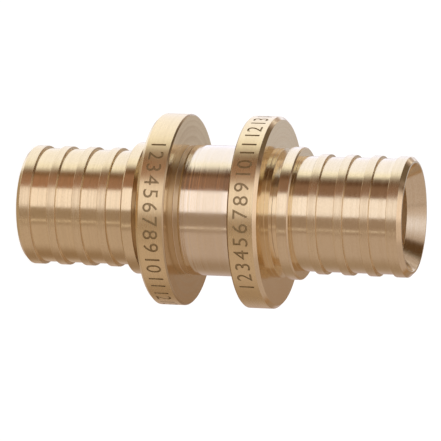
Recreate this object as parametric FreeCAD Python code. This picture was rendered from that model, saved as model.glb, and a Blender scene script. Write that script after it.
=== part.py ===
import FreeCAD, Part
import math
import os

# Straight coupling for plastic heating pipe, turned from one brass bar.
# Sizes are in millimetres. The axis of the bore is +Z, and the coupling stands
# on the ring at its lower end, so the origin is the middle of that ring.
# The two halves are alike: everything is drawn upwards from the middle plane
# and mirrored down.

# Barrel between the flanges, with the tool's relief at the foot of each flange
BARREL_D = 15.5
BARREL_LENGTH = 7.6
RELIEF_WIDTH = 0.65
RELIEF_DEPTH = 0.1

# Flanges that the clamping jaws hold
FLANGE_D = 22.75
FLANGE_THICKNESS = 3.5
FLANGE_INNER_CHAMFER = 0.18
FLANGE_OUTER_CHAMFER = 0.4

# Sleeve stop outside each flange: a low shoulder, a deep neck and a collar
SHOULDER_D = 15.3
SHOULDER_WIDTH = 0.55
NECK_D = 12.4
NECK_WIDTH = 0.95
COLLAR_D = 15.7
COLLAR_WIDTH = 1.4
COLLAR_CHAMFER = 0.15

# Barbed tail that the pipe is pushed over: a groove, then a land, and so on
TAIL_D = 14.2
BARB_COUNT = 3
BARB_GROOVE_WIDTH = 2.08
BARB_GROOVE_DEPTH = 0.3
BARB_LAND_WIDTH = 1.05
EDGE_BREAK = 0.06
END_LAND_WIDTH = 1.3
END_CHAMFER = 0.5

# Waterway: a straight bore that opens in a cone at each end
BORE_D = 10.3
MOUTH_D = 12.7
MOUTH_CONE_ANGLE = 60.0


class Outline:
    """The turned outline as straight runs, kept as points of radius and height."""

    def __init__(self, radius, height):
        self.points = [(radius, height)]

    @property
    def height(self):
        return self.points[-1][1]

    def cut_to(self, radius, rise=0.0):
        """Run straight to a new radius, while the height grows by rise."""
        self.points.append((radius, self.height + rise))

    def land(self, radius, width, lower_break, upper_break):
        """A raised cylinder of this full width, with a 45 degree break at each edge."""
        self.cut_to(radius - lower_break)
        if lower_break > 0:
            self.cut_to(radius, lower_break)
        self.cut_to(radius, width - lower_break - upper_break)
        if upper_break > 0:
            self.cut_to(radius - upper_break, upper_break)

    def groove(self, radius, width):
        """A square groove with its floor at this radius."""
        self.cut_to(radius)
        self.cut_to(radius, width)


def draw_barrel(outline):
    """Half of the barrel, from the middle plane up to the foot of the flange."""
    floor_radius = BARREL_D / 2 - RELIEF_DEPTH
    plain_length = BARREL_LENGTH / 2 - RELIEF_WIDTH - RELIEF_DEPTH
    outline.cut_to(BARREL_D / 2, plain_length)
    outline.cut_to(floor_radius, RELIEF_DEPTH)
    outline.cut_to(floor_radius, RELIEF_WIDTH)


def draw_flange(outline):
    """The round flange, with a fine inner chamfer and a wider outer one."""
    outline.land(FLANGE_D / 2, FLANGE_THICKNESS, FLANGE_INNER_CHAMFER, FLANGE_OUTER_CHAMFER)


def draw_sleeve_stop(outline):
    """The shoulder, the neck and the collar that the pipe's end comes up to."""
    outline.land(SHOULDER_D / 2, SHOULDER_WIDTH, 0.0, EDGE_BREAK)
    outline.groove(NECK_D / 2, NECK_WIDTH)
    outline.land(COLLAR_D / 2, COLLAR_WIDTH, EDGE_BREAK, COLLAR_CHAMFER)


def draw_tail(outline):
    """The barbs: grooves and lands in turn, then the end land with its lead-in chamfer."""
    floor_radius = TAIL_D / 2 - BARB_GROOVE_DEPTH
    for _ in range(BARB_COUNT):
        outline.groove(floor_radius, BARB_GROOVE_WIDTH)
        outline.land(TAIL_D / 2, BARB_LAND_WIDTH, EDGE_BREAK, EDGE_BREAK)
    outline.groove(floor_radius, BARB_GROOVE_WIDTH)
    outline.land(TAIL_D / 2, END_LAND_WIDTH + END_CHAMFER, EDGE_BREAK, END_CHAMFER)


def draw_waterway(outline):
    """Across the end ring, down the cone and along the bore to the middle plane."""
    cone_depth = (MOUTH_D - BORE_D) / 2 / math.tan(math.radians(MOUTH_CONE_ANGLE / 2))
    outline.cut_to(MOUTH_D / 2)
    outline.cut_to(BORE_D / 2, -cone_depth)
    outline.cut_to(BORE_D / 2, -outline.height)


def half_outline():
    """One half of the section, from the barrel's middle out to the mouth and back in."""
    outline = Outline(BARREL_D / 2, 0.0)
    draw_barrel(outline)
    draw_flange(outline)
    draw_sleeve_stop(outline)
    draw_tail(outline)
    draw_waterway(outline)
    return outline.points


def coupling_body():
    """The whole coupling: the section is closed by its mirror image and turned once."""
    upper = half_outline()
    lower = [(radius, -height) for radius, height in reversed(upper)]
    half_length = max(height for _, height in upper)
    # the points on the middle plane are corners of neither half
    section = upper[1:-1] + lower[1:-1]
    corners = [FreeCAD.Vector(radius, 0, height + half_length) for radius, height in section]
    face = Part.Face(Part.makePolygon(corners + corners[:1]))
    return face.revolve(FreeCAD.Vector(0, 0, 0), FreeCAD.Vector(0, 0, 1), 360)


os.makedirs("parts", exist_ok=True)

NODES = {
    "coupling_body": coupling_body,
}

for name, build in NODES.items():
    shape = build()
    shape.exportStep(os.path.join("parts", name + ".step"))
    size = shape.BoundBox
    print(name, "solids", len(shape.Solids), "faces", len(shape.Faces), "valid", shape.isValid())
    print("  size", round(size.XLength, 3), round(size.YLength, 3), round(size.ZLength, 3))
    print("  lowest point", round(size.ZMin, 4), "volume", round(shape.Volume, 2), "mm3")
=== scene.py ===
"""Looks of a straight brass coupling for plastic heating pipe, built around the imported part.

Sizes in the dataclasses are millimetres, and MM turns them into metres. The part stands on its
lower end with its axis on Z. It is alike at both ends, so the outline is drawn for one half, as
heights above the plane halfway up, and mirrored.
"""

import logging
import math
from collections import defaultdict
from dataclasses import dataclass, field
from enum import Enum

import bmesh
import bpy
from mathutils import Matrix, Vector

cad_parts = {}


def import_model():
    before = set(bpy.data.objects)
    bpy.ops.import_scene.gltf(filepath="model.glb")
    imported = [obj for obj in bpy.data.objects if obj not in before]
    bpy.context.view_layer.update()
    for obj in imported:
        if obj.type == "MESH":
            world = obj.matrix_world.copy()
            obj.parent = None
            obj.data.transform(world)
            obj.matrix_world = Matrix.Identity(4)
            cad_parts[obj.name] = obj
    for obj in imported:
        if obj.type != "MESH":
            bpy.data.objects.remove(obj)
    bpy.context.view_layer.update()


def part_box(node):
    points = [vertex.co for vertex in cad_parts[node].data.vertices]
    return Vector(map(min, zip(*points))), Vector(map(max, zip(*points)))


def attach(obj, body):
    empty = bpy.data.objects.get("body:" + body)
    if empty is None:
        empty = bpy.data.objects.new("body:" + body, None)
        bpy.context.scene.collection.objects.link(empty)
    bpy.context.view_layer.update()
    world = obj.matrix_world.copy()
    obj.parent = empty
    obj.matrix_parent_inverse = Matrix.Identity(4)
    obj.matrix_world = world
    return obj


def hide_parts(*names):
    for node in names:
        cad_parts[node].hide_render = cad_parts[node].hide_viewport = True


MM = 0.001
NODE = "coupling_body"
PHOTO_PX = 441

# Most of a noise texture lies between these values, which are stretched to 0 and 1
NOISE_SPAN = (0.3, 0.7)

# Places of a Mix node's colour sockets, whose names other sockets of the node share
MIX_SHARE = 0
MIX_LOW = 6
MIX_HIGH = 7
MIX_RESULT = 2

Colour = tuple[float, float, float]
Value = "float | tuple | Shade"

log = logging.getLogger("scene")


class Shade:
    """A shader socket that expressions can be written with. Each operator adds one Math node."""

    def __init__(self, sheet: "Sheet", socket: bpy.types.NodeSocket) -> None:
        """Keep the socket and the sheet that it belongs to."""
        self.sheet = sheet
        self.socket = socket

    def __add__(self, other: Value) -> "Shade":
        """self + other."""
        return self.sheet.maths("ADD", self, other)

    def __radd__(self, other: Value) -> "Shade":
        """other + self."""
        return self.sheet.maths("ADD", other, self)

    def __sub__(self, other: Value) -> "Shade":
        """self - other."""
        return self.sheet.maths("SUBTRACT", self, other)

    def __rsub__(self, other: Value) -> "Shade":
        """other - self."""
        return self.sheet.maths("SUBTRACT", other, self)

    def __mul__(self, other: Value) -> "Shade":
        """self * other."""
        return self.sheet.maths("MULTIPLY", self, other)

    def __rmul__(self, other: Value) -> "Shade":
        """other * self."""
        return self.sheet.maths("MULTIPLY", other, self)

    def __pow__(self, other: Value) -> "Shade":
        """self ** other."""
        return self.sheet.maths("POWER", self, other)

    def __rpow__(self, other: Value) -> "Shade":
        """other ** self."""
        return self.sheet.maths("POWER", other, self)

    def __neg__(self) -> "Shade":
        """-self."""
        return self.sheet.maths("MULTIPLY", self, -1.0)

    def __abs__(self) -> "Shade":
        """abs(self)."""
        return self.sheet.maths("ABSOLUTE", self)

    def beside(self, output: str | int) -> "Shade":
        """Another output of the same node, by its name or its place."""
        return Shade(self.sheet, self.socket.node.outputs[output])


class Sheet:
    """A node tree, with the one method that adds nodes to it and short forms of the usual ones."""

    def __init__(self, tree: bpy.types.NodeTree) -> None:
        """Start from an empty tree."""
        self.tree = tree
        tree.nodes.clear()

    @classmethod
    def of_material(cls, name: str) -> tuple[bpy.types.Material, "Sheet"]:
        """Make a material with an empty node tree.

        Args:
            name: what the material is called.

        Returns:
            The new material and its sheet.
        """
        material = bpy.data.materials.new(name)
        material.use_nodes = True
        return material, cls(material.node_tree)

    def node(self, kind: str, settings: dict | None = None, inputs: dict | None = None) -> Shade | None:
        """Add one node.

        Args:
            kind: the node's type, such as ShaderNodeMath.
            settings: its own properties, such as a Math node's operation, which are set first.
            inputs: a number, tuple or Shade for each socket, by its name or its place.

        Returns:
            The node's first output, from which beside() gives the others; None if it has none.
        """
        made = self.tree.nodes.new(kind)
        for name, value in (settings or {}).items():
            setattr(made, name, value)
        for name, value in (inputs or {}).items():
            socket = made.inputs[name]
            if isinstance(value, Shade):
                self.tree.links.new(value.socket, socket)
            elif socket.type == "RGBA":
                socket.default_value = (*value, 1.0)
            else:
                socket.default_value = value
        return Shade(self, made.outputs[0]) if made.outputs else None

    def maths(self, operation: str, *values: Value) -> Shade:
        """One Math node on these values."""
        return self.node("ShaderNodeMath", {"operation": operation}, dict(enumerate(values)))

    def mix(self, share: Value, low: Value, high: Value) -> Shade:
        """The colour that goes from low to high as share goes from 0 to 1."""
        inputs = {MIX_SHARE: share, MIX_LOW: low, MIX_HIGH: high}
        return self.node("ShaderNodeMix", {"data_type": "RGBA"}, inputs).beside(MIX_RESULT)

    def step(self, value: Value, low: float, high: float) -> Shade:
        """0 where value is under low, 1 where it is over high, and smooth between them."""
        inputs = {"Value": value, "From Min": low, "From Max": high}
        return self.node("ShaderNodeMapRange", {"interpolation_type": "SMOOTHSTEP"}, inputs)


class Cut(Enum):
    """The passes of the tools, each of which leaves its own surface on the bar, except the upper
    corner, which is a lit copy of the collar's inner wall. Some passes have painted light or painted
    shade in their tone, as noted in FINISHES.
    """

    BARREL = "barrel"
    RELIEF = "relief"
    RIM = "rim"
    FACE = "face"
    # The flanges' inner faces, whose tone carries painted shade
    INNER_FACE_PAINTED_SHADE = "inner_face"
    # The flanges' inner chamfers, whose tone carries painted shade
    BREAK_PAINTED_SHADE = "break"
    GROOVE = "groove"
    LAND = "land"
    STEP = "step"
    # The neck's wall and floor, whose tone carries painted light
    NECK_PAINTED_LIGHT = "neck"
    # The collar's inner wall: its lower end's tone carries painted shade, its upper end's tone painted
    # light
    CORNER = "corner"
    UPPER_CORNER_PAINTED_LIGHT = "upper_corner"
    CONE = "cone"
    BORE = "bore"
    NUMERAL = "numeral"


@dataclass(frozen=True)
class BrassFinish:
    """A turned brass surface: its colour, its gloss and the marks that the tool's feed left.

    The marks run round the axis, so they are noise over the radius and the height, which stays the
    same all the way round a cylinder, a face or a cone. Haze, specks and grain lie over them. The
    shares say how much of mark_tone each brings. A cell of the speck pattern holds a speck only
    where its random value is over speck_rarity.
    """

    tone: Colour = (0.87, 0.715, 0.445)
    mark_tone: Colour = (0.74, 0.58, 0.34)
    mark_share: float = 0.2
    mark_pitch: float = 0.30
    mark_detail: float = 2.0
    mark_depth: float = 0.0005
    roughness: float = 0.13
    mark_roughness: float = 0.05
    haze_size: float = 5.0
    haze_detail: float = 2.0
    haze_roughness: float = 0.03
    speck_size: float = 0.45
    speck_border: tuple[float, float] = (0.08, 0.2)
    speck_rarity: tuple[float, float] = (0.8, 0.82)
    speck_share: float = 0.25
    grain_size: float = 0.22
    grain_detail: float = 1.0
    grain_share: float = 0.25

    def make(self, name: str) -> bpy.types.Material:
        """Make the material.

        Args:
            name: what the material is called.

        Returns:
            The new material.
        """
        material, sheet = Sheet.of_material(name)
        place = sheet.node("ShaderNodeTexCoord").beside("Object")
        marks = self._marks(sheet, place)
        haze = self._noise(sheet, place, self.haze_size, self.haze_detail)
        specks = self._specks(sheet, place)
        grain = self._noise(sheet, place, self.grain_size, self.grain_detail)
        wear = marks * self.mark_share + grain * self.grain_share + specks * self.speck_share
        tone = sheet.mix(wear, self.tone, self.mark_tone)
        roughness = self.roughness + marks * self.mark_roughness + haze * self.haze_roughness
        bump = sheet.node("ShaderNodeBump", {}, {"Distance": self.mark_depth * MM, "Height": marks})
        inputs = {"Base Color": tone, "Metallic": 1.0, "Roughness": roughness, "Normal": bump}
        shader = sheet.node("ShaderNodeBsdfPrincipled", {}, inputs)
        sheet.node("ShaderNodeOutputMaterial", {}, {"Surface": shader})
        return material

    @staticmethod
    def _noise(sheet: Sheet, place: Shade, size: float, detail: float) -> Shade:
        """Smooth noise from 0 to 1 whose largest features are about this size, in millimetres."""
        inputs = {"Vector": place, "Scale": 1.0 / (size * MM), "Detail": detail}
        return sheet.step(sheet.node("ShaderNodeTexNoise", {}, inputs), *NOISE_SPAN)

    def _marks(self, sheet: Sheet, place: Shade) -> Shade:
        """Draw the marks that the tool's feed left.

        Args:
            sheet: the material's sheet.
            place: where on the piece, as Object coordinates.

        Returns:
            Their height, from 0 to 1.
        """
        x = sheet.node("ShaderNodeSeparateXYZ", {}, {"Vector": place})
        y, height = x.beside("Y"), x.beside("Z")
        radius = (x * x + y * y) ** 0.5
        section = sheet.node("ShaderNodeCombineXYZ", {}, {"X": radius, "Y": height})
        inputs = {
            "Vector": section,
            "Scale": 1.0 / (self.mark_pitch * MM),
            "Detail": self.mark_detail,
        }
        noise = sheet.node("ShaderNodeTexNoise", {"noise_dimensions": "2D"}, inputs)
        return sheet.step(noise, *NOISE_SPAN)

    def _specks(self, sheet: Sheet, place: Shade) -> Shade:
        """Scatter a few small dull specks.

        Args:
            sheet: the material's sheet.
            place: where on the piece, as Object coordinates.

        Returns:
            1 in the middle of a speck, and 0 between them.
        """
        inputs = {"Vector": place, "Scale": 1.0 / (self.speck_size * MM)}
        distance = sheet.node("ShaderNodeTexVoronoi", {}, inputs)
        chosen = sheet.node("ShaderNodeSeparateColor", {}, {"Color": distance.beside("Color")})
        return (1.0 - sheet.step(distance, *self.speck_border)) * sheet.step(chosen, *self.speck_rarity)


@dataclass(frozen=True)
class EngravedFinish:
    """The floor and walls of the engraved numerals: burnt a little darker, and dull."""

    tone: Colour = (0.52, 0.40, 0.21)
    deep_tone: Colour = (0.34, 0.25, 0.12)
    grain_size: float = 0.08
    grain_detail: float = 3.0
    grain_span: tuple[float, float] = (0.35, 0.65)
    roughness: float = 0.45
    grain_roughness: float = 0.1

    def make(self, name: str) -> bpy.types.Material:
        """Make the material.

        Args:
            name: what the material is called.

        Returns:
            The new material.
        """
        material, sheet = Sheet.of_material(name)
        place = sheet.node("ShaderNodeTexCoord").beside("Object")
        inputs = {"Vector": place, "Scale": 1.0 / (self.grain_size * MM), "Detail": self.grain_detail}
        grain = sheet.step(sheet.node("ShaderNodeTexNoise", {}, inputs), *self.grain_span)
        tone = sheet.mix(grain, self.tone, self.deep_tone)
        roughness = self.roughness + grain * self.grain_roughness
        inputs = {"Base Color": tone, "Metallic": 1.0, "Roughness": roughness}
        shader = sheet.node("ShaderNodeBsdfPrincipled", {}, inputs)
        sheet.node("ShaderNodeOutputMaterial", {}, {"Surface": shader})
        return material


FINISHES = {
    Cut.BARREL: BrassFinish(tone=(0.88, 0.75, 0.53), mark_pitch=0.5, mark_depth=0.006,
                            roughness=0.11, grain_share=0.12),
    Cut.RELIEF: BrassFinish(tone=(0.84, 0.70, 0.47), roughness=0.30, grain_share=0.12),
    Cut.RIM: BrassFinish(tone=(0.92, 0.735, 0.41), roughness=0.24, haze_roughness=0.05),
    Cut.FACE: BrassFinish(roughness=0.10, mark_depth=0.0003),
    # The flanges' inner faces: a darker tone, painted shade
    Cut.INNER_FACE_PAINTED_SHADE: BrassFinish(tone=(0.69, 0.54, 0.31), mark_tone=(0.60, 0.46, 0.25),
                                roughness=0.13, mark_depth=0.0001),
    # The flanges' inner chamfers: a darker tone, painted shade
    Cut.BREAK_PAINTED_SHADE: BrassFinish(tone=(0.62, 0.48, 0.28), mark_tone=(0.52, 0.39, 0.21), roughness=0.25),
    Cut.GROOVE: BrassFinish(),
    Cut.LAND: BrassFinish(roughness=0.20),
    Cut.STEP: BrassFinish(tone=(0.84, 0.69, 0.44), roughness=0.25),
    # The neck: a lighter tone, painted light in the deep groove
    Cut.NECK_PAINTED_LIGHT: BrassFinish(tone=(0.98, 0.86, 0.62), mark_tone=(0.88, 0.74, 0.50), roughness=0.14),
    # The collar's inner wall at the lower end: a darker tone, painted shade
    Cut.CORNER: BrassFinish(tone=(0.60, 0.46, 0.26), mark_tone=(0.50, 0.37, 0.20), roughness=0.32),
    # The same wall at the upper end: a lighter tone, painted light
    Cut.UPPER_CORNER_PAINTED_LIGHT: BrassFinish(tone=(0.96, 0.80, 0.50), mark_tone=(0.86, 0.70, 0.42),
                                  roughness=0.20),
    Cut.CONE: BrassFinish(tone=(0.89, 0.765, 0.515), mark_depth=0.001),
    Cut.BORE: BrassFinish(tone=(0.87, 0.665, 0.35), roughness=0.50, mark_pitch=0.6, mark_depth=0.004),
    Cut.NUMERAL: EngravedFinish(),
}

# Passes whose upper end takes a lit copy of the brass: painted light at the upper end of the collar's
# inner wall, whose lower end keeps painted shade
PAINTED_LIGHT_UPPER_CUTS = {Cut.CORNER: Cut.UPPER_CORNER_PAINTED_LIGHT}


@dataclass(frozen=True)
class Run:
    """One straight pass of the tool, from one corner of the outline to the next."""

    start: tuple[float, float]
    end: tuple[float, float]
    cut: Cut

    def distance(self, radius: float, height: float) -> float:
        """Measure how far a point of the section lies from the run.

        Args:
            radius: the point's radius.
            height: its height above the middle plane.

        Returns:
            The shortest distance.
        """
        start, end = Vector(self.start), Vector(self.end)
        along = end - start
        share = (Vector((radius, height)) - start).dot(along) / along.length_squared
        return (Vector((radius, height)) - start - along * min(1.0, max(0.0, share))).length


class Outline:
    """The turned outline of one half: corners with how far each is rounded, and the runs."""

    USUAL_ROUNDING = 0.04

    def __init__(self, radius: float) -> None:
        """Start on the middle plane.

        Args:
            radius: the radius there.
        """
        self.end = (radius, 0.0)
        self.corners: list[tuple[float, float, float]] = []
        self.runs: list[Run] = []
        self._known: dict[tuple[float, float], Cut] = {}

    def run(self, cut: Cut, radius: float, rise: float = 0.0,
            rounding: float = USUAL_ROUNDING) -> None:
        """Go straight on.

        Args:
            cut: the pass that makes this run.
            radius: where the run ends.
            rise: how far it climbs.
            rounding: how far from its end the corner there is rounded, on both runs.
        """
        start = self.end
        self.end = (radius, start[1] + rise)
        self.runs.append(Run(start, self.end, cut))
        self.corners.append((*self.end, rounding))

    def close(self, cut: Cut) -> None:
        """Go straight down to the middle plane, with no corner there."""
        self.runs.append(Run(self.end, (self.end[0], 0.0), cut))

    def cut_at(self, radius: float, height: float) -> Cut:
        """Find the pass that made a point of the section, on either half.

        Args:
            radius: the point's radius.
            height: its height above the middle plane, or below it as a negative number.

        Returns:
            The pass, or on the upper half its copy whose tone carries painted light.
        """
        place = (radius, abs(height))
        if place not in self._known:
            self._known[place] = min(self.runs, key=lambda run: run.distance(*place)).cut
        cut = self._known[place]
        return PAINTED_LIGHT_UPPER_CUTS.get(cut, cut) if height > 0 else cut


@dataclass
class Barrel:
    """The plain barrel between the flanges, with the tool's relief at their feet."""

    diameter: float = 15.5
    length: float = 7.6
    relief_width: float = 0.65
    relief_depth: float = 0.1
    relief_rounding: float = 0.065
    foot_rounding: float = 0.08

    def draw(self, outline: Outline) -> None:
        """Draw the upper half of the barrel.

        Args:
            outline: the outline to go on with.
        """
        radius = self.diameter / 2
        floor = radius - self.relief_depth
        plain = self.length / 2 - self.relief_width - self.relief_depth
        outline.run(Cut.BARREL, radius, plain, self.relief_rounding)
        outline.run(Cut.RELIEF, floor, self.relief_depth, self.relief_rounding)
        outline.run(Cut.RELIEF, floor, self.relief_width, self.foot_rounding)


@dataclass
class Flange:
    """A round flange that the clamping jaws hold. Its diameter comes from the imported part."""

    diameter: float
    thickness: float = 3.5
    inner_chamfer: float = 0.18
    outer_chamfer: float = 0.4

    def draw(self, outline: Outline) -> None:
        """Draw the flange, with a fine inner chamfer and a wider outer one.

        Args:
            outline: the outline to go on with.
        """
        radius = self.diameter / 2
        flat = self.thickness - self.inner_chamfer - self.outer_chamfer
        outline.run(Cut.INNER_FACE_PAINTED_SHADE, radius - self.inner_chamfer)
        outline.run(Cut.BREAK_PAINTED_SHADE, radius, self.inner_chamfer)
        outline.run(Cut.RIM, radius, flat)
        outline.run(Cut.FACE, radius - self.outer_chamfer, self.outer_chamfer)

    @property
    def flat_middle(self) -> float:
        """How far the middle of the rim's flat lies above the flange's inner face."""
        return (self.thickness + self.inner_chamfer - self.outer_chamfer) / 2


@dataclass
class SleeveStop:
    """The low shoulder, the deep neck and the collar that the pipe's end comes up to."""

    shoulder_diameter: float = 15.3
    shoulder_width: float = 0.55
    neck_diameter: float = 12.4
    neck_width: float = 0.95
    collar_diameter: float = 15.7
    collar_width: float = 1.4
    collar_chamfer: float = 0.15

    def draw(self, outline: Outline) -> None:
        """Draw the stop from the flange's outer face to the collar's chamfer.

        Args:
            outline: the outline to go on with.
        """
        collar = self.collar_diameter / 2
        outline.run(Cut.FACE, self.shoulder_diameter / 2)
        outline.run(Cut.GROOVE, self.shoulder_diameter / 2, self.shoulder_width)
        outline.run(Cut.NECK_PAINTED_LIGHT, self.neck_diameter / 2)
        outline.run(Cut.NECK_PAINTED_LIGHT, self.neck_diameter / 2, self.neck_width)
        outline.run(Cut.CORNER, collar)
        outline.run(Cut.GROOVE, collar, self.collar_width - self.collar_chamfer)
        outline.run(Cut.STEP, collar - self.collar_chamfer, self.collar_chamfer)


@dataclass
class BarbedTail:
    """The tail that the pipe is pushed over: grooves and lands in turn, and a wider end land."""

    diameter: float = 14.2
    barbs: int = 3
    groove_width: float = 2.08
    groove_depth: float = 0.3
    land_width: float = 1.05
    end_land_width: float = 1.3
    end_chamfer: float = 0.5
    land_rounding: float = 0.06

    def draw(self, outline: Outline) -> None:
        """Draw the tail from the collar's end face to the lead-in chamfer.

        Args:
            outline: the outline to go on with.
        """
        wall = Cut.FACE
        for _ in range(self.barbs):
            self._groove(outline, wall)
            outline.run(Cut.LAND, self.diameter / 2, self.land_width, self.land_rounding)
            wall = Cut.STEP
        self._groove(outline, wall)
        outline.run(Cut.LAND, self.diameter / 2, self.end_land_width)
        outline.run(Cut.FACE, self.diameter / 2 - self.end_chamfer, self.end_chamfer)

    def _groove(self, outline: Outline, wall: Cut) -> None:
        """Go down into a groove, along it and up to the next land.

        Args:
            outline: the outline to go on with.
            wall: the pass that makes the wall down into the groove.
        """
        floor = self.diameter / 2 - self.groove_depth
        outline.run(wall, floor)
        outline.run(Cut.GROOVE, floor, self.groove_width)
        outline.run(Cut.STEP, self.diameter / 2, rounding=self.land_rounding)


@dataclass
class Waterway:
    """The bore, and the cone in which it opens."""

    bore_diameter: float = 10.3
    mouth_diameter: float = 12.7
    cone_angle: float = 60.0

    def draw(self, outline: Outline) -> None:
        """Draw across the end ring, down the cone and along the bore.

        Args:
            outline: the outline to go on with.
        """
        flare = (self.mouth_diameter - self.bore_diameter) / 2
        depth = flare / math.tan(math.radians(self.cone_angle / 2))
        outline.run(Cut.FACE, self.mouth_diameter / 2)
        outline.run(Cut.CONE, self.bore_diameter / 2, -depth)
        outline.close(Cut.BORE)


def mesh_of(name: str, bm: bmesh.types.BMesh) -> bpy.types.Mesh:
    """Make a mesh of a finished bmesh, which is freed.

    Args:
        name: what the mesh is called.
        bm: the bmesh.

    Returns:
        The new mesh.
    """
    mesh = bpy.data.meshes.new(name)
    bm.to_mesh(mesh)
    bm.free()
    return mesh


def placed(name: str, data: bpy.types.ID) -> bpy.types.Object:
    """Put a new object into the scene.

    Args:
        name: what the object is called.
        data: its mesh or camera.

    Returns:
        The new object.
    """
    made = bpy.data.objects.new(name, data)
    bpy.context.scene.collection.objects.link(made)
    return made


class Reading(Enum):
    """Which way up a row of numerals stands on its rim."""

    UPRIGHT = 1
    INVERTED = -1


@dataclass
class RimNumerals:
    """A row of plain counting numbers that is engraved round a flange's rim."""

    last_number: int = 16
    word_gap: float = 0.45
    digit_height: float = 1.8
    depth: float = 0.09
    overrun: float = 0.05
    curve_steps: int = 4
    doubles_within: float = 1e-5

    def cutter(self, name: str, radius: float, height: float, reading: Reading,
               start: float) -> bpy.types.Object:
        """Make the solid that is cut out of the rim.

        Args:
            name: the object's name.
            radius: the rim's radius.
            height: the middle of the row.
            reading: which way up the row stands.
            start: where the first digit begins, in degrees round the axis from X.

        Returns:
            A closed mesh object that reaches from the engraving's floor to outside the rim.
        """
        thickness = self.depth + self.overrun
        bm = self._flat_text(thickness)
        digits = [vert.co for vert in bm.verts]
        low = min(co.y for co in digits)
        size = self.digit_height / (max(co.y for co in digits) - low)
        for vert in bm.verts:
            along = vert.co.x * size * reading.value / radius
            up = ((vert.co.y - low) * size - self.digit_height / 2) * reading.value
            out = radius - self.depth if vert.co.z < 0 else radius + self.overrun
            turn = math.radians(start) + along
            vert.co = Vector((out * math.cos(turn), out * math.sin(turn), height + up)) * MM
        bmesh.ops.triangulate(bm, faces=bm.faces)
        bmesh.ops.recalc_face_normals(bm, faces=bm.faces)
        return placed(name, mesh_of(name, bm))

    def _flat_text(self, thickness: float) -> bmesh.types.BMesh:
        """Set the row of numbers as flat text, one unit to the line.

        Args:
            thickness: how thick the text is.

        Returns:
            A closed bmesh with no doubled vertices.
        """
        curve = bpy.data.curves.new("numerals", "FONT")
        curve.body = " ".join(str(number + 1) for number in range(self.last_number))
        curve.space_word = self.word_gap
        curve.resolution_u = self.curve_steps
        curve.extrude = thickness / 2
        source = bpy.data.objects.new("numerals", curve)
        mesh = bpy.data.meshes.new_from_object(source)
        bm = bmesh.new()
        bm.from_mesh(mesh)
        bmesh.ops.remove_doubles(bm, verts=bm.verts, dist=self.doubles_within)
        bpy.data.objects.remove(source)
        bpy.data.curves.remove(curve)
        bpy.data.meshes.remove(mesh)
        return bm


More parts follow.
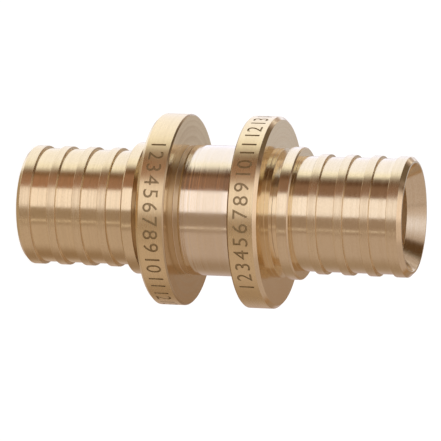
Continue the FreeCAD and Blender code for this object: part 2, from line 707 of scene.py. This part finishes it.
@dataclass
class Coupling:
    """The whole coupling: one turned piece, with the numerals cut into its two rims.

    Places in the section are rounded to place_digits, so that each is looked up only once.
    """

    half_length: float
    flange: Flange
    barrel: Barrel = field(default_factory=Barrel)
    stop: SleeveStop = field(default_factory=SleeveStop)
    tail: BarbedTail = field(default_factory=BarbedTail)
    waterway: Waterway = field(default_factory=Waterway)
    numerals: RimNumerals = field(default_factory=RimNumerals)
    turning_steps: int = 192
    rounding_steps: int = 2
    doubles_within: float = 0.001
    place_digits: int = 3
    sharp_limit: float = 0.6
    lower_row_start: float = 226.0
    upper_row_start: float = 324.0

    @classmethod
    def around(cls, node: str) -> "Coupling":
        """Take the length and the flange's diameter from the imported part.

        Args:
            node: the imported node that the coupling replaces.

        Returns:
            A coupling that fills the node's box.
        """
        low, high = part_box(node)
        radius = min(high.x, high.y, -low.x, -low.y)
        return cls(half_length=(high.z - low.z) / 2 / MM, flange=Flange(diameter=2 * radius / MM))

    def build(self) -> bpy.types.Object:
        """Turn the piece, engrave it and dress it.

        Returns:
            The finished object, at the origin, with its place in its mesh.
        """
        outline = self._outline()
        materials = {cut: FINISHES[cut].make(f"brass_{cut.value}") for cut in Cut}
        piece = self._turned(outline, materials)
        self._engrave(piece, materials[Cut.NUMERAL])
        self._shade_true(piece, list(materials).index(Cut.NUMERAL))
        return piece

    def _outline(self) -> Outline:
        """Draw one half, sub-assembly by sub-assembly.

        Returns:
            The outline, from the barrel's middle out to the mouth and back in.
        """
        outline = Outline(self.barrel.diameter / 2)
        for part in (self.barrel, self.flange, self.stop, self.tail, self.waterway):
            part.draw(outline)
        return outline

    def _turned(self, outline: Outline, materials: dict[Cut, bpy.types.Material]) -> bpy.types.Object:
        """Round the corners of the whole outline and turn it about the axis.

        Args:
            outline: the outline of one half.
            materials: the finish of each cut, in the order of the mesh's slots.

        Returns:
            The turned solid as an object.
        """
        bm = bmesh.new()
        self._draw_wire(bm, outline)
        bmesh.ops.spin(bm, geom=bm.verts[:] + bm.edges[:], cent=(0, 0, 0), axis=(0, 0, 1),
                       dvec=(0, 0, 0), angle=math.tau, steps=self.turning_steps, use_merge=True)
        bmesh.ops.remove_doubles(bm, verts=bm.verts, dist=self.doubles_within * MM)
        bmesh.ops.recalc_face_normals(bm, faces=bm.faces)
        slots = list(materials)
        for face in bm.faces:
            middle = face.calc_center_median() / MM
            radius = round(middle.xy.length, self.place_digits)
            height = round(middle.z - self.half_length, self.place_digits)
            face.material_index = slots.index(outline.cut_at(radius, height))
            face.smooth = True
        mesh = mesh_of("turned_coupling", bm)
        for cut in slots:
            mesh.materials.append(materials[cut])
        return placed("turned_coupling", mesh)

    def _draw_wire(self, bm: bmesh.types.BMesh, outline: Outline) -> None:
        """Draw the closed outline of both halves in the XZ plane, and round its corners.

        Args:
            bm: the empty bmesh to draw in.
            outline: the outline of one half.
        """
        lower = [(radius, -height, rounding) for radius, height, rounding in outline.corners[::-1]]
        corners = outline.corners + lower
        verts = []
        for radius, height, _ in corners:
            verts.append(bm.verts.new(Vector((radius, 0.0, self.half_length + height)) * MM))
        for start, end in zip(verts, verts[1:] + verts[:1]):
            bm.edges.new((start, end))
        for rounding in sorted({corner[2] for corner in corners}):
            chosen = [vert for vert, corner in zip(verts, corners) if corner[2] == rounding]
            bmesh.ops.bevel(bm, geom=chosen, offset=rounding * MM, offset_type="OFFSET",
                            segments=self.rounding_steps, profile=0.5, affect="VERTICES", material=-1)

    def _engrave(self, piece: bpy.types.Object, material: bpy.types.Material) -> None:
        """Cut the numerals into both rims.

        Args:
            piece: the turned object.
            material: the finish of the engraving.
        """
        height = self.barrel.length / 2 + self.flange.flat_middle
        rows = {
            "lower_numerals": (self.half_length - height, Reading.UPRIGHT, self.lower_row_start),
            "upper_numerals": (self.half_length + height, Reading.INVERTED, self.upper_row_start),
        }
        cutters = []
        for name, (middle, reading, start) in rows.items():
            cutter = self.numerals.cutter(name, self.flange.diameter / 2, middle, reading, start)
            cutter.data.materials.append(material)
            cut = piece.modifiers.new(name, "BOOLEAN")
            cut.operation = "DIFFERENCE"
            cut.solver = "EXACT"
            cut.material_mode = "TRANSFER"
            cut.object = cutter
            cutters.append(cutter)
        self._apply_modifiers(piece)
        for cutter in cutters:
            bpy.data.objects.remove(cutter)

    @staticmethod
    def _apply_modifiers(piece: bpy.types.Object) -> None:
        """Make what the modifiers give the object's own mesh.

        Args:
            piece: the object, which has no modifiers afterwards.
        """
        shaped = piece.evaluated_get(bpy.context.evaluated_depsgraph_get())
        mesh = bpy.data.meshes.new_from_object(shaped)
        mesh.name = piece.data.name
        piece.modifiers.clear()
        piece.data = mesh

    def _shade_true(self, piece: bpy.types.Object, engraved_slot: int) -> None:
        """Give the turned faces the normals of true cylinders, cones and flats.

        At each vertex the large faces outweigh the small ones of the rounded edges, so a run stays
        straight right up to its end. Faces at a sharp angle to one another don't share.

        Args:
            piece: the turned and engraved object.
            engraved_slot: the material slot of the faces to leave alone.
        """
        mesh = piece.data
        turned = [face for face in mesh.polygons if face.material_index != engraved_slot]
        slopes = {face.index: self._slope(face.center, face.normal) for face in turned}
        around = defaultdict(list)
        for face in turned:
            for vertex in face.vertices:
                around[vertex].append((slopes[face.index], (face.area / MM ** 2) ** 2))
        normals = [corner.vector.copy() for corner in mesh.corner_normals]
        for face in turned:
            own = slopes[face.index]
            for index in face.loop_indices:
                vertex = mesh.loops[index].vertex_index
                shared = Vector((0.0, 0.0))
                for slope, weight in around[vertex]:
                    if slope.dot(own) > self.sharp_limit:
                        shared += slope * weight
                place = mesh.vertices[vertex].co
                outward = Vector((place.x, place.y, 0.0)).normalized()
                normals[index] = (outward * shared.x + Vector((0.0, 0.0, shared.y))).normalized()
        mesh.normals_split_custom_set(normals)

    @staticmethod
    def _slope(place: Vector, normal: Vector) -> Vector:
        """A face's normal as seen in the section: how much it points outwards and upwards."""
        outward = Vector((place.x, place.y, 0.0)).normalized()
        return Vector((normal.dot(outward), normal.z)).normalized()


@dataclass(frozen=True)
class Card:
    """One panel of the studio, as the part sees it: where it stands and how bright it is.

    Bearings are degrees to the left of straight behind the part, and tilts are degrees above the
    horizon. Each border fades over the degrees of its softness. A card is near_colour where the
    part's lower end mirrors it, and colour where the rest does.
    """

    colour: Colour
    bearings: tuple[float, float]
    tilts: tuple[float, float]
    side_softness: float = 3.0
    level_softness: float = 8.0
    near_colour: Colour | None = None


@dataclass
class Studio:
    """The light and the floor, neither of which belongs to the part. The floor is in metres."""

    white: Colour = (1.0, 1.0, 1.0)
    strength: float = 1.0
    half_turn: float = 180.0
    floor_size: float = 6.0
    floor_glow: float = 0.93
    floor_tone: float = 0.25
    near_tilts: tuple[float, float] = (-18.0, -16.0)
    cards: dict[str, Card] = field(default_factory=lambda: {
        "table": Card((0.515, 0.42, 0.41), (-180.0, 180.0), (-100.0, 100.0),
                      near_colour=(0.55, 0.433, 0.364)),
        "low_shade": Card((0.39, 0.30, 0.25), (-80.0, -38.0), (-90.0, 4.0), side_softness=34.0,
                          near_colour=(0.30, 0.195, 0.12)),
        "dark_screen": Card((0.226, 0.142, 0.113), (86.0, 146.4), (-90.0, 4.0), side_softness=4.0,
                            near_colour=(0.45, 0.245, 0.165)),
        "dark_edge": Card((0.105, 0.052, 0.032), (86.0, 120.0), (-90.0, 4.0), side_softness=10.0,
                          near_colour=(0.26, 0.147, 0.08)),
        "screen_top": Card((0.27, 0.18, 0.13), (100.0, 143.0), (4.0, 20.0)),
        "edge_top": Card((0.07, 0.035, 0.02), (84.0, 122.0), (4.0, 20.0), side_softness=6.0),
        "window_edge": Card((1.14, 1.17, 1.22), (14.0, 104.5), (-90.0, 4.0), side_softness=18.0,
                            near_colour=(1.10, 1.09, 1.12)),
        "window": Card((1.14, 1.22, 1.60), (14.0, 86.0), (-90.0, 4.0), side_softness=18.0,
                       near_colour=(1.12, 1.14, 1.27)),
        "side_wall": Card((0.98, 0.93, 0.96), (18.0, 50.0), (14.4, 19.0), side_softness=6.0,
                          level_softness=1.0),
        "window_top": Card((1.6, 1.85, 2.5), (66.0, 92.0), (15.8, 18.2), side_softness=8.0,
                           level_softness=1.0),
        "window_low": Card((0.68, 0.72, 0.62), (62.0, 86.0), (13.5, 15.8), side_softness=8.0,
                           level_softness=1.0),
        "window_end": Card((0.105, 0.052, 0.032), (100.5, 112.0), (-15.4, 4.0), side_softness=16.0,
                           level_softness=0.6),
        "softbox": Card((1.06, 1.04, 1.25), (146.4, 185.0), (-23.0, 30.0), level_softness=4.0,
                        near_colour=(1.08, 0.97, 1.0)),
        "softbox_mid": Card((1.34, 1.30, 1.52), (147.0, 184.5), (-16.8, -15.2), side_softness=4.0,
                            level_softness=0.6),
        "near_wall": Card((0.355, 0.268, 0.24), (185.0, 220.5), (-90.0, 30.0),
                          near_colour=(0.36, 0.27, 0.20)),
        "gap_light": Card((0.90, 0.80, 0.80), (210.9, 213.4), (-90.0, 30.0), side_softness=1.5,
                          near_colour=(1.0, 0.82, 0.70)),
        "back_wall": Card((0.74, 0.70, 0.70), (0.0, 14.0), (4.0, 24.0), side_softness=1.5),
        "back_shade": Card((0.37, 0.235, 0.145), (-62.0, 0.0), (4.0, 24.0), side_softness=1.5),
        "back_wall_end": Card((0.54, 0.53, 0.60), (0.0, 14.0), (4.0, 15.9), side_softness=1.5,
                              level_softness=0.4),
        "back_shade_end": Card((0.36, 0.26, 0.20), (-62.0, 0.0), (4.0, 15.9), side_softness=1.5,
                               level_softness=0.4),
        "high_shade": Card((0.17, 0.13, 0.10), (-10.0, 90.0), (24.0, 52.0)),
        "high_dark": Card((0.10, 0.05, 0.02), (80.0, 115.0), (22.0, 62.0), side_softness=12.0),
        "high_glow": Card((0.86, 0.82, 0.98), (138.0, 184.0), (28.0, 62.0), side_softness=44.0),
        "mouth_line": Card((0.34, 0.27, 0.25), (211.5, 217.0), (34.0, 56.0), side_softness=2.0),
        "ceiling_side": Card((0.70, 0.58, 0.58), (184.0, 265.0), (48.0, 100.0), side_softness=20.0),
        "ceiling": Card((1.04, 0.92, 0.98), (100.0, 200.0), (55.0, 100.0), side_softness=40.0),
        "under": Card((0.45, 0.35, 0.26), (-60.0, 48.0), (-100.0, -50.0), side_softness=10.0),
    })

    def light(self) -> None:
        """Paint the cards on the world, which the camera sees as plain white."""
        world = bpy.data.worlds.new("studio")
        world.use_nodes = True
        bpy.context.scene.world = world
        sheet = Sheet(world.node_tree)
        direction = sheet.node("ShaderNodeTexCoord")
        x = sheet.node("ShaderNodeSeparateXYZ", {}, {"Vector": direction})
        bearing = sheet.maths("DEGREES", sheet.maths("ARCTAN2", -x, x.beside("Y")))
        tilt = sheet.maths("DEGREES", sheet.maths("ARCSINE", x.beside("Z")))
        far = sheet.step(tilt, *self.near_tilts)
        colour: Value = self.white
        for card in self.cards.values():
            own: Value = card.colour
            if card.near_colour:
                own = sheet.mix(far, card.near_colour, card.colour)
            colour = sheet.mix(self._shown(sheet, card, bearing, tilt), colour, own)
        from_camera = sheet.node("ShaderNodeLightPath")
        seen = sheet.maths("MAXIMUM", from_camera, from_camera.beside("Is Transmission Ray"))
        colour = sheet.mix(seen, colour, self.white)
        inputs = {"Color": colour, "Strength": self.strength}
        background = sheet.node("ShaderNodeBackground", {}, inputs)
        sheet.node("ShaderNodeOutputWorld", {}, {"Surface": background})

    def _shown(self, sheet: Sheet, card: Card, bearing: Shade, tilt: Shade) -> Shade:
        """Work out how much of a card a direction sees.

        Args:
            sheet: the world's sheet.
            card: the card.
            bearing: the direction's bearing, in degrees.
            tilt: its angle above the horizon, in degrees.

        Returns:
            The share, from 0 to 1.
        """
        middle = sum(card.bearings) / 2
        half_width = (card.bearings[1] - card.bearings[0]) / 2
        side = card.side_softness / 2
        level = card.level_softness / 2
        away = abs(sheet.maths("WRAP", bearing - middle, self.half_turn, -self.half_turn))
        within = 1.0 - sheet.step(away, half_width - side, half_width + side)
        above = sheet.step(tilt, card.tilts[0] - level, card.tilts[0] + level)
        below = 1.0 - sheet.step(tilt, card.tilts[1] - level, card.tilts[1] + level)
        return within * above * below

    def floor(self) -> bpy.types.Object:
        """Lay the floor: white to the camera but for a soft shadow, and unseen by the brass.

        Returns:
            The floor.
        """
        bm = bmesh.new()
        bmesh.ops.create_grid(bm, x_segments=1, y_segments=1, size=self.floor_size / 2)
        mesh = mesh_of("floor", bm)
        mesh.materials.append(self._floor_paint())
        return placed("floor", mesh)

    def _floor_paint(self) -> bpy.types.Material:
        """Mix a pale paint that glows to the camera, so that it meets the white background.

        Returns:
            The floor's material.
        """
        material, sheet = Sheet.of_material("floor_paint")
        from_camera = sheet.node("ShaderNodeLightPath")
        tone = (self.floor_tone,) * 3
        paint = sheet.node("ShaderNodeBsdfDiffuse", {}, {"Color": tone})
        glow = sheet.node("ShaderNodeEmission", {}, {"Color": self.white, "Strength": self.floor_glow})
        pale = sheet.node("ShaderNodeAddShader", {}, {0: paint, 1: glow})
        seen = sheet.node("ShaderNodeMixShader", {}, {0: from_camera, 1: paint, 2: pale})
        clear = sheet.node("ShaderNodeBsdfTransparent")
        glossy = from_camera.beside("Is Glossy Ray")
        passed = sheet.maths("MAXIMUM", glossy, from_camera.beside("Is Transmission Ray"))
        shader = sheet.node("ShaderNodeMixShader", {}, {0: passed, 1: seen, 2: clear})
        sheet.node("ShaderNodeOutputMaterial", {}, {"Surface": shader})
        return material


@dataclass
class PhotoCamera:
    """The photograph's camera, which looks down on the part and is rolled onto its side.

    The part's axis runs across the photograph, with its upper end to the right. Lengths are
    millimetres and angles radians. aim_right and aim_down say how far the part's centre lies
    from the middle of the picture.
    """

    focal_px: float = 3946.0
    sensor: float = 36.0
    tilt: float = 0.277
    roll: float = 0.034
    distance: float = 468.1
    aim_right: float = 0.107
    aim_down: float = -1.166

    def place(self, centre: Vector) -> bpy.types.Object:
        """Make the camera and use it.

        Args:
            centre: the middle of the part, in metres.

        Returns:
            The camera.
        """
        fall = math.sin(self.tilt) * math.cos(self.roll)
        reach = math.sqrt(1.0 - fall ** 2)
        turn = math.asin(math.sin(self.roll) / reach)
        ahead = Vector((0.0, reach, -fall))
        up_axis = Vector((0.0, fall, reach))
        side = Vector((1.0, 0.0, 0.0))
        right = up_axis * math.cos(turn) - side * math.sin(turn)
        down = up_axis * math.sin(turn) + side * math.cos(turn)
        offset = right * self.aim_right + down * self.aim_down + ahead * self.distance
        data = bpy.data.cameras.new("camera")
        data.sensor_width = self.sensor
        data.lens = self.focal_px / PHOTO_PX * self.sensor
        camera = placed("camera", data)
        turned = Matrix((right, -down, -ahead)).transposed().to_4x4()
        camera.matrix_world = Matrix.Translation(centre - offset * MM) @ turned
        bpy.context.scene.camera = camera
        return camera


def triangles(piece: bpy.types.Object) -> int:
    """How many triangles a mesh object has."""
    piece.data.calc_loop_triangles()
    return len(piece.data.loop_triangles)


def main() -> None:
    """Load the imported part, build the dressed coupling and its studio, and report on each."""
    logging.basicConfig(level=logging.INFO, format="%(name)s: %(message)s")
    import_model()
    coupling = Coupling.around(NODE)
    piece = coupling.build()
    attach(piece, "root")
    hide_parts(NODE)
    log.info("%s: %d triangles", piece.name, triangles(piece))
    studio = Studio()
    studio.light()
    floor = studio.floor()
    log.info("studio: %d cards, and %s", len(studio.cards), floor.name)
    low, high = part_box(NODE)
    camera = PhotoCamera().place((low + high) / 2)
    log.info("%s: %.0f mm lens", camera.name, camera.data.lens)
    bpy.context.scene.view_settings.view_transform = "Standard"


if __name__ == "__main__":
    main()
